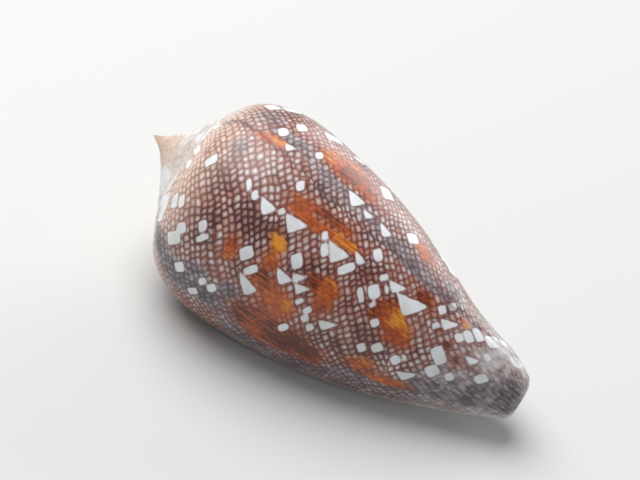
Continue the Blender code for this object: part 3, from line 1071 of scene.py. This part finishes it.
class ShellPaint(Finish):
    """The shell's finish, laid in layers that share the noise and the marks.

    ground is the colour inside the net's cells and lines that of its lines. Most layers mix something
    into both, and net says how much of a place is line.
    """

    def __init__(self, looks):
        super().__init__("shell_pattern")
        self.looks = looks
        self.place = self.node("ShaderNodeTexCoord").outputs["Object"]
        self.growth_at, self.arc_at = self.map_parts("growth")
        self.patch = self.mark("patch")
        self.cloudy_and_shade = self.mark("cloud")
        self.scar = self.mark("scar")
        self.broad = self.noise(self.place, BROAD_NOISE)
        self.zone_noise = self.noise(self.place, ZONE_NOISE)
        self.middling = self.noise(self.place, MIDDLING_NOISE, 3.0)
        self.fine = self.noise(self.place, FINE_NOISE)
        self.streaks = self.streaky(*STREAKS)
        self.hair = self.streaky(*HAIR)

    def streaky(self, by_growth, by_arc, detail, roughness, shift):
        """Noise on the growth map, its cycles counted for each millimetre of growth and of the lip."""
        place = self.vector(self.growth_at * by_growth, self.arc_at * by_arc + shift)
        return self.noise(place, 1.0, detail, roughness)

    def lay_net(self):
        """The net's cells and lines, which swell in the dark zones, which near the lower edge are also
        painted shade.
        """
        self.from_line, self.cell_chance = self.net_cells()
        self.zone = (self.zone_noise * 0.7 + self.middling * 0.3 + self.mark("zone") * 0.10
                     + self.scar * 0.06 - self.patch * 0.1)
        line_half = self.looks.line_width / 2 + (self.zone - 0.5) * LINE_SWELL
        self.net = (self.from_line - line_half).between(*LINE_EDGE)

    def net_cells(self):
        """How far a place is from the net's nearest line, in mm, and a random number for its cell.

        A cell lies between two wave lines and two cross lines. Cells widen by COARSER at each place
        along the lip in COARSER_FROM.
        """
        column_at, row_at = self.map_parts("net")
        wobble = (self.middling - 0.5) * 5.0
        coarse = 1.0
        for arc in COARSER_FROM:
            coarse = coarse * ((self.arc_at + wobble).math("GREATER_THAN", arc) * (COARSER - 1.0) + 1.0)
        uneven = self.noise(self.vector(column_at * 0.6, 7.0), 1.0)
        columns = column_at / self.looks.column_pitch
        columns = columns + (self.broad - 0.5) * 2.6 + (self.middling - 0.5) * 0.9 + (uneven - 0.5) * 0.9
        columns = columns / coarse
        column = columns.floor()
        in_column = columns - column
        chance = self.chance(self.vector(column, coarse))
        length = (0.5 + coarse * 0.5) * (0.92 + chance * 0.2) * self.looks.row_pitch
        drift = (self.broad - 0.5) * 3.0 + (self.middling - 0.5) * 1.4
        rows = row_at / length + chance * 0.3 + column * 0.5 + drift - in_column * self.mark("lean")
        cuts, cells = (self.node("ShaderNodeTexVoronoi", {"voronoi_dimensions": "1D", "feature": feature},
                                 {"W": rows, "Scale": 1.0, "Randomness": ROW_RANDOMNESS})
                       for feature in ("DISTANCE_TO_EDGE", "F1"))
        to_side = (0.5 - (in_column - 0.5).size()) * coarse * self.mark("across") * self.looks.column_pitch
        to_cross = Value(self, cuts.outputs["Distance"]) * length
        from_line = to_side.soft_least(to_cross, CELL_ROUNDING) + (self.fine - 0.5) * 0.06
        return from_line, self.chance(self.vector(column, Value(self, cells.outputs["W"])))

    def lay_whites(self):
        """Where the tents and blocks are, with uneven edges and a brown outline, and whiter cells near. A
        few blocks on the upper-right outline are partly painted highlight.
        """
        tent = self.mark("tent") + (self.fine - 0.5) * 0.20 + (self.middling - 0.5) * 0.30
        self.in_white = tent.between(*WHITE_EDGE)
        outline = (tent - OUTLINE_FROM_WHITE).size().between(*OUTLINE_EDGE)
        self.net = (self.net * (1.0 - self.in_white)).most(outline * 0.7)
        whiter = self.cell_chance + (self.broad - 0.5) * 1.4 - self.patch * 0.3 - (self.zone - 0.5) * 0.8
        self.whiter = (whiter + tent.between(*WHITE_HALO) * 0.32).between(0.62, 0.90)

    def lay_cells(self):
        """Pink to white cells with brown rims, dusky in the dark zones, which near the lower edge are also
        painted shade, and peach on the shoulder, which is also painted light from above.
        """
        looks = self.looks
        ground = self.mix(self.cell_chance.between(0.05, 0.75), looks.cell_pink, looks.cell_pale)
        ground = self.mix(self.whiter * 0.8, ground, looks.cell_white)
        ground = self.mix(self.zone.between(0.48, 0.70) * 0.65, ground, looks.cell_dusky)
        ground = self.mix(self.from_line.between(*CELL_RIM_WIDTH) * 0.8, ground, looks.cell_rim)
        lines = self.mix(self.zone.between(0.44, 0.58), looks.line_brown, looks.line_dark)
        # The shoulder is made lighter partly as painted light falling on the top of the shell
        shoulder = self.mark("shoulder")
        self.ground = self.mix(shoulder * 0.8, ground, looks.shoulder_peach)
        self.lines = self.mix(shoulder * 0.95, lines, looks.shoulder_brown)

    def lay_clouds(self):
        """Grey-blue places, dark and smoky where they are strongest, and along the lower edge that dark is
        also painted shade.
        """
        looks = self.looks
        uneven = (self.streaks - 0.5) * 1.2 + (self.middling - 0.5) * 0.8
        self.greyness = (self.cloudy_and_shade + uneven).between(0.10, 0.95)
        uneven = (self.streaks - 0.5) * 2.6 + (self.middling - 0.5) * 2.0
        # Strongest at the lower edge, where this smoky dark is painted shade as well as pigment
        self.smoky_and_shade = (self.cloudy_and_shade + uneven).between(0.60, 1.90)
        self.flecks = (self.hair * 0.45 + self.fine * 0.30 + self.middling * 0.25).between(0.42, 0.54)
        grey = self.mix(self.flecks, looks.cloud_dark, looks.cloud_grey)
        ground = self.mix(self.greyness * 0.6, self.ground, grey)
        self.ground = self.mix(self.smoky_and_shade * (0.85 - self.cell_chance * 0.55), ground, looks.cloud_dark)
        lines = self.mix(self.greyness * 0.8, self.lines, looks.line_grey)
        self.lines = self.mix(self.smoky_and_shade * 0.7, lines, looks.line_black)

    def lay_patches(self):
        """Orange-brown places, red-brown in streaks and golden at heart, where the net fades."""
        looks = self.looks
        warm = self.patch.between(0.02, 0.40)
        amount = self.patch * 1.5 + (self.streaks - 0.5) * 1.4 + (self.middling - 0.5) * 2.4
        amount = amount.between(0.12, 1.0)
        golden = self.mark("gold") * 1.1 + (self.middling - 0.5) * 1.6 + (self.fine - 0.5) * 0.7
        golden = golden + (self.hair - 0.5) * (1.4 + golden.between(0.5, 0.0) * 1.8)
        tone = self.mix(golden.between(-0.05, 0.60), looks.patch_dark, looks.patch_orange)
        tone = self.mix(golden.between(0.60, 1.10), tone, looks.patch_gold)
        ground = self.mix(warm * 0.5, self.ground, looks.patch_orange)
        self.ground = self.mix(amount * 0.95, ground, tone)
        self.lines = self.mix(warm * 0.8, self.lines, looks.patch_dark)
        fading = amount * (0.40 + golden.between(0.3, 1.0) * 0.5)
        self.net = self.net * (1.0 - fading) * (1.0 - self.greyness * 0.3)

    def joined(self):
        """The net over its ground, the whites on both, and the healed break's grey thread over all."""
        looks = self.looks
        white = self.mix(self.middling.between(0.35, 0.7), looks.tent_white, looks.tent_shade)
        colour = self.mix(self.in_white, self.mix(self.net, self.ground, self.lines), white)
        thread = (self.scar * (self.hair * 1.6 + (self.middling - 0.5) * 1.4)).between(0.40, 0.95)
        return self.mix(thread * 0.5, colour, looks.line_grey)

    def on_spire(self, colour):
        """The spire's cream with tan flecks and whiter marks, peach at the apex, and tan painted shade in
        the suture.
        """
        looks = self.looks
        flecks = self.noise(self.place, FLECK_NOISE, 4.0, 0.65)
        marks = self.noise(self.place, SPIRE_NOISE)
        radial = self.streaky(*RADIAL)
        flecked = (flecks * 0.6 + radial * 0.4).between(0.50, 0.66)
        spire = self.mix(flecked * 0.55, looks.spire_cream, looks.spire_tan)
        spire = self.mix(self.mark("peach") * 0.6, spire, looks.apex_peach)
        whiter = (marks + (radial - 0.5) * 0.8).between(0.48, 0.58) * self.arc_at.between(0.15, 0.5)
        spire = self.mix(whiter * 0.85, spire, looks.tent_white)
        dusky = marks.between(0.52, 0.44) * (radial + (flecks - 0.5) * 1.2).between(0.48, 0.62)
        spire = self.mix(dusky * 0.28, spire, looks.line_grey)
        # Painted shade in the crease of the suture
        suture_painted_shade = self.arc_at.between(*SUTURE_PAINTED_SHADE) * radial.between(0.40, 0.60)
        spire = self.mix(suture_painted_shade * 0.5, spire, looks.spire_tan)
        cream = (self.mark("cream") + (self.middling - 0.5) * 0.5).between(0.25, 0.75)
        return self.mix(cream, colour, spire)

    def on_worn_end(self, colour):
        """The siphonal end worn to mottled pale grey, with painted shade in its smoky dark along the lower
        edge, and how worn each place is.
        """
        looks = self.looks
        blotches = (self.middling + (self.zone_noise - 0.5)).between(0.40, 0.60)
        worn = self.mark("tip") * (0.55 + blotches * 0.25)
        worn = worn * (1.0 - self.in_white * 0.6) * (1.0 - self.smoky_and_shade * 0.3)
        mottled = (self.hair * 0.15 + self.fine * 0.35 + self.middling * 0.5).between(0.40, 0.58)
        tone = self.mix(mottled, looks.tip_grey, looks.tip_pale)
        # The smoky dark here is partly painted shade on the lower edge of the siphonal end
        tone = self.mix(self.smoky_and_shade * (0.85 - self.flecks * 0.45), tone, looks.cloud_dark)
        return self.mix(worn, colour, tone), worn

    def fine_relief(self):
        """Fine growth lines and fainter spiral ones, as a bump."""
        height = self.streaky(*GROWTH_LINES) * 0.6 + self.streaky(*SPIRAL_LINES) * 0.25 + self.fine * 0.15
        return self.node("ShaderNodeBump", None, {"Strength": BUMP_STRENGTH, "Distance": BUMP_HEIGHT,
                                                  "Height": height}).outputs[0]


def shell_finish(looks):
    """Glossy shell: a net of brown lines on pinkish white, white tents, orange-brown and grey places."""
    paint = ShellPaint(looks)
    paint.lay_net()
    paint.lay_whites()
    paint.lay_cells()
    paint.lay_clouds()
    paint.lay_patches()
    colour, worn = paint.on_worn_end(paint.on_spire(paint.joined()))
    colour = paint.mix(paint.mark("lip") * 0.8, colour, looks.cell_white)
    colour = paint.mix(paint.mark("inside"), colour, looks.inside_white)
    rough = looks.gloss_roughness + (paint.middling - 0.5) * 0.14 + paint.cloudy_and_shade * 0.08 + worn * 0.12
    for name, value in (("Base Color", colour), ("Roughness", rough), ("Normal", paint.fine_relief()),
                        ("Coat Weight", COAT_WEIGHT), ("Coat Roughness", COAT_ROUGHNESS)):
        paint.feed(paint.shader.inputs[name], value)
    return paint.material


def colour_property(name, description, screen):
    """A colour that the user can change, given as a screen colour."""
    return bpy.props.FloatVectorProperty(name=name, description=description, subtype="COLOR", size=3,
                                         min=0.0, max=1.0, default=from_screen(screen))


class ConeShellLooks(bpy.types.PropertyGroup):
    """The net's sizes and the shell's colours."""

    column_pitch: bpy.props.FloatProperty(
        name="Column pitch", description="Distance along the lip from one wave line to the next, in mm",
        default=0.95, min=0.3, max=4.0)
    row_pitch: bpy.props.FloatProperty(
        name="Row pitch", description="Mean length of a cell along its column, in mm",
        default=0.79, min=0.2, max=3.0)
    line_width: bpy.props.FloatProperty(
        name="Line width", description="Width of the net's lines, in mm", default=0.116, min=0.05, max=0.6)
    gloss_roughness: bpy.props.FloatProperty(
        name="Roughness", description="Roughness of the glossy surface", default=0.35, min=0.02, max=0.9,
        subtype="FACTOR")


for title, (screen_colour, purpose) in COLOURS.items():
    ConeShellLooks.__annotations__[title] = colour_property(
        title.replace("_", " ").capitalize(), purpose, screen_colour)


class ConeShellStage(bpy.types.PropertyGroup):
    """The floor and the light."""

    floor_size: bpy.props.FloatProperty(
        name="Floor size", description="Width of the floor", default=3.0, min=0.5, max=20.0, unit="LENGTH")
    floor_colour: colour_property("Floor", "Colour of the floor", (214, 214, 212))
    key_power: bpy.props.FloatProperty(
        name="Key light", description="Power of the large light above the shell, in watts",
        default=2.85, min=0.0, max=200.0)
    rim_power: bpy.props.FloatProperty(
        name="Rim light", description="Power of the low light behind the shell, in watts",
        default=1.3, min=0.0, max=200.0)
    fill_power: bpy.props.FloatProperty(
        name="Fill light", description="Power of the soft light beside the camera, in watts",
        default=0.06, min=0.0, max=200.0)
    sky_strength: bpy.props.FloatProperty(
        name="Sky", description="Strength of the even light all round", default=0.27, min=0.0, max=5.0)


class SHELL_OT_build(bpy.types.Operator):
    """Build the shell in one piece, with its aperture, net, tents and patches"""

    bl_idname = "cone_shell.build"
    bl_label = "Build Shell"

    def execute(self, context):
        whorl = Whorl()
        skin = Skin()
        lower = build_outside(skin, whorl)
        build_inside(skin, lower)
        mesh = skin_mesh(skin, "shell_surface")
        mesh.materials.append(shell_finish(context.scene.cone_shell_looks))
        shell = bpy.data.objects.new("shell_surface", mesh)
        context.scene.collection.objects.link(shell)
        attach(shell, "root")
        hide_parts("shell")
        return {"FINISHED"}


class SHELL_OT_stage(bpy.types.Operator):
    """Lay a pale floor, set soft lights and place the camera at the photo's angle"""

    bl_idname = "cone_shell.stage"
    bl_label = "Set Stage"

    def execute(self, context):
        settings = context.scene.cone_shell_stage
        self.lay_floor(context, settings)
        self.set_lights(context, settings)
        self.place_camera(context)
        context.scene.view_settings.view_transform = "Standard"
        return {"FINISHED"}

    def lay_floor(self, context, settings):
        half = settings.floor_size / 2
        mesh = bpy.data.meshes.new("floor")
        mesh.from_pydata([(-half, -half, 0.0), (half, -half, 0.0), (half, half, 0.0), (-half, half, 0.0)],
                         [], [(0, 1, 2, 3)])
        finish = Finish("floor_plain")
        finish.feed(finish.shader.inputs["Base Color"], (*settings.floor_colour, 1.0))
        finish.feed(finish.shader.inputs["Roughness"], FLOOR_ROUGHNESS)
        mesh.materials.append(finish.material)
        floor = bpy.data.objects.new("floor", mesh)
        context.scene.collection.objects.link(floor)
        floor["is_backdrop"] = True

    def set_lights(self, context, settings):
        world = context.scene.world or bpy.data.worlds.new("studio")
        context.scene.world = world
        world.use_nodes = True
        background = world.node_tree.nodes["Background"]
        background.inputs["Color"].default_value = SKY_COLOUR
        background.inputs["Strength"].default_value = settings.sky_strength
        for name, place, size in LIGHTS:
            self.add_light(context, name, place, size, getattr(settings, name + "_power"))

    def add_light(self, context, name, place, size, power):
        data = bpy.data.lights.new(name, "AREA")
        data.shape = "DISK"
        data.size = size
        data.energy = power
        light = bpy.data.objects.new(name, data)
        context.scene.collection.objects.link(light)
        light.location = place
        light.rotation_mode = "QUATERNION"
        light.rotation_quaternion = (-Vector(place)).to_track_quat("-Z", "Y")

    def place_camera(self, context):
        data = bpy.data.cameras.new("photo_view")
        data.sensor_width = SENSOR_WIDTH
        data.lens = data.sensor_width * FOCAL_PIXELS / PICTURE_WIDTH
        data.clip_start, data.clip_end = CLIP
        camera = bpy.data.objects.new("photo_view", data)
        context.scene.collection.objects.link(camera)
        back, right, up = camera_axes()
        place = camera_place() * MILLIMETRE
        rows = np.vstack((np.column_stack((right, up, back, place)), (0.0, 0.0, 0.0, 1.0)))
        camera.matrix_world = Matrix(rows.tolist())
        context.scene.camera = camera


class SHELL_PT_panel(bpy.types.Panel):
    """Settings and buttons of the cone shell"""

    bl_idname = "SHELL_PT_panel"
    bl_label = "Cone Shell"
    bl_space_type = "VIEW_3D"
    bl_region_type = "UI"
    bl_category = "Cone Shell"

    def draw(self, context):
        for settings, operator in ((context.scene.cone_shell_looks, "cone_shell.build"),
                                   (context.scene.cone_shell_stage, "cone_shell.stage")):
            box = self.layout.box()
            for name in settings.__annotations__:
                box.prop(settings, name)
            box.operator(operator)


CLASSES = (ConeShellLooks, ConeShellStage, SHELL_OT_build, SHELL_OT_stage, SHELL_PT_panel)


def register():
    for item in CLASSES:
        bpy.utils.register_class(item)
    bpy.types.Scene.cone_shell_looks = bpy.props.PointerProperty(type=ConeShellLooks)
    bpy.types.Scene.cone_shell_stage = bpy.props.PointerProperty(type=ConeShellStage)


def unregister():
    del bpy.types.Scene.cone_shell_stage
    del bpy.types.Scene.cone_shell_looks
    for item in reversed(CLASSES):
        bpy.utils.unregister_class(item)


def main():
    register()
    bpy.ops.cone_shell.build()
    bpy.ops.cone_shell.stage()


if __name__ == "__main__":
    main()
